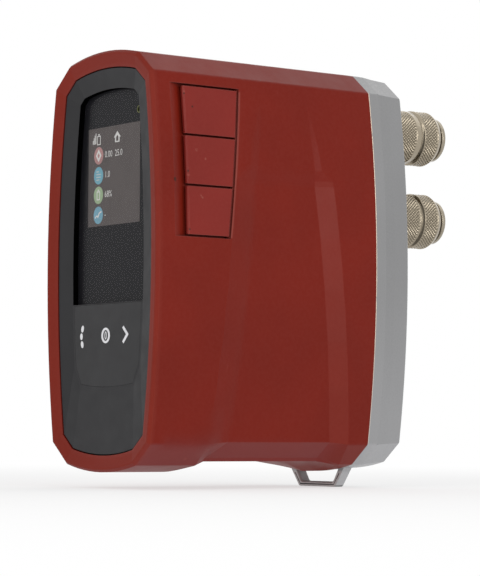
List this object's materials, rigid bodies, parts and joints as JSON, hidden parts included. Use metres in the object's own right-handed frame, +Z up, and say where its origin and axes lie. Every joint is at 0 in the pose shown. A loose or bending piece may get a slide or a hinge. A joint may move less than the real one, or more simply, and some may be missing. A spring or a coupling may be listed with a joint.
{
  "type": "differential pressure transmitter",
  "caption": "Hand-held differential pressure transmitter with display, keys, side port flaps and rear quick couplings with sliding sleeves.",
  "frame": {"origin": "below the middle of the whole part, level with the strap loop's foot", "axes": "-Y towards the display, +Y along the couplings, +Z up, +X towards the port flaps"},
  "size_m": [0.0652, 0.14, 0.1402],
  "materials": {
    "cover_rubber": "soft matte",
    "bezel_plastic": "fine satin",
    "keypad_film": "satin film",
    "window_glass": "clear",
    "display_panel": "dark glossy",
    "lamp_lens": "glossy",
    "housing_plastic": "matt",
    "circuit_board": "satin",
    "battery_wrap": "satin",
    "shell_metal": "satin",
    "coupling_metal": "nickel plated, satin",
    "socket_steel": "bright",
    "screw_steel": "zinc plated",
    "seal_rubber": "matt"
  },
  "bodies": {
    "case": {"rubber_cover": "cover_rubber", "inner_housing": "housing_plastic", "front_bezel": "bezel_plastic", "keypad_membrane": "keypad_film", "display_window": "window_glass", "display_module": "display_panel", "status_led": "lamp_lens", "key_board": "circuit_board", "main_board": "circuit_board", "board_screws": "screw_steel", "battery_pack": "battery_wrap", "port_board": "circuit_board", "charging_socket": "socket_steel", "lower_probe_socket": "housing_plastic", "middle_probe_socket": "housing_plastic", "rear_shell": "shell_metal", "housing_gasket": "seal_rubber", "rear_screws": "screw_steel", "sensor_manifold": "shell_metal", "manifold_screws": "screw_steel", "pressure_sensor": "socket_steel", "bypass_valve": "socket_steel", "upper_coupling_stem": "coupling_metal", "upper_coupling_barrel": "coupling_metal", "upper_retaining_ring": "coupling_metal", "upper_sleeve_spring": "screw_steel", "upper_poppet_spring": "screw_steel", "upper_mouth_seal": "seal_rubber", "lower_coupling_stem": "coupling_metal", "lower_coupling_barrel": "coupling_metal", "lower_retaining_ring": "coupling_metal", "lower_sleeve_spring": "screw_steel", "lower_poppet_spring": "screw_steel", "lower_mouth_seal": "seal_rubber"},
    "lower_flap": {"lower_port_flap": "cover_rubber"},
    "middle_flap": {"middle_port_flap": "cover_rubber"},
    "upper_flap": {"upper_port_flap": "cover_rubber"},
    "menu_key": {"menu_key": "housing_plastic"},
    "select_key": {"select_key": "housing_plastic"},
    "next_key": {"next_key": "housing_plastic"},
    "upper_sleeve": {"upper_release_sleeve": "coupling_metal"},
    "upper_poppet": {"upper_poppet": "coupling_metal"},
    "lower_sleeve": {"lower_release_sleeve": "coupling_metal"},
    "lower_poppet": {"lower_poppet": "coupling_metal"}
  },
  "joints": [
    {"name": "lower_flap_hinge", "type": "hinge", "parent": "case", "child": "lower_flap", "pos_m": [0.03164, -0.04222, 0.08747], "axis": [-0.0377, 0.1142, 0.9927], "range_deg": [0, 110], "stiffness_Nm_per_rad": 0.0006},
    {"name": "middle_flap_hinge", "type": "hinge", "parent": "case", "child": "middle_flap", "pos_m": [0.03071, -0.04039, 0.10343], "axis": [-0.0783, 0.1139, 0.9904], "range_deg": [0, 110], "stiffness_Nm_per_rad": 0.0006},
    {"name": "upper_flap_hinge", "type": "hinge", "parent": "case", "child": "upper_flap", "pos_m": [0.02912, -0.03855, 0.11937], "axis": [-0.119, 0.1134, 0.9864], "range_deg": [0, 110], "stiffness_Nm_per_rad": 0.0006},
    {"name": "menu_key_press", "type": "slide", "parent": "case", "child": "menu_key", "axis": [0, 1, 0], "range_m": [0, 0.0003], "stiffness_N_per_m": 2000, "springref_m": -0.0004},
    {"name": "select_key_press", "type": "slide", "parent": "case", "child": "select_key", "axis": [0, 1, 0], "range_m": [0, 0.0003], "stiffness_N_per_m": 2000, "springref_m": -0.0004},
    {"name": "next_key_press", "type": "slide", "parent": "case", "child": "next_key", "axis": [0, 1, 0], "range_m": [0, 0.0003], "stiffness_N_per_m": 2000, "springref_m": -0.0004},
    {"name": "upper_sleeve_slide", "type": "slide", "parent": "case", "child": "upper_sleeve", "axis": [0, -1, 0], "range_m": [0, 0.003], "stiffness_N_per_m": 800, "springref_m": -0.004, "deforming": ["upper_sleeve_spring"]},
    {"name": "upper_poppet_slide", "type": "slide", "parent": "case", "child": "upper_poppet", "axis": [0, -1, 0], "range_m": [0, 0.0025], "stiffness_N_per_m": 400, "springref_m": -0.003, "deforming": ["upper_poppet_spring"]},
    {"name": "lower_sleeve_slide", "type": "slide", "parent": "case", "child": "lower_sleeve", "axis": [0, -1, 0], "range_m": [0, 0.003], "stiffness_N_per_m": 800, "springref_m": -0.004, "deforming": ["lower_sleeve_spring"]},
    {"name": "lower_poppet_slide", "type": "slide", "parent": "case", "child": "lower_poppet", "axis": [0, -1, 0], "range_m": [0, 0.0025], "stiffness_N_per_m": 400, "springref_m": -0.003, "deforming": ["lower_poppet_spring"]}
  ]
}
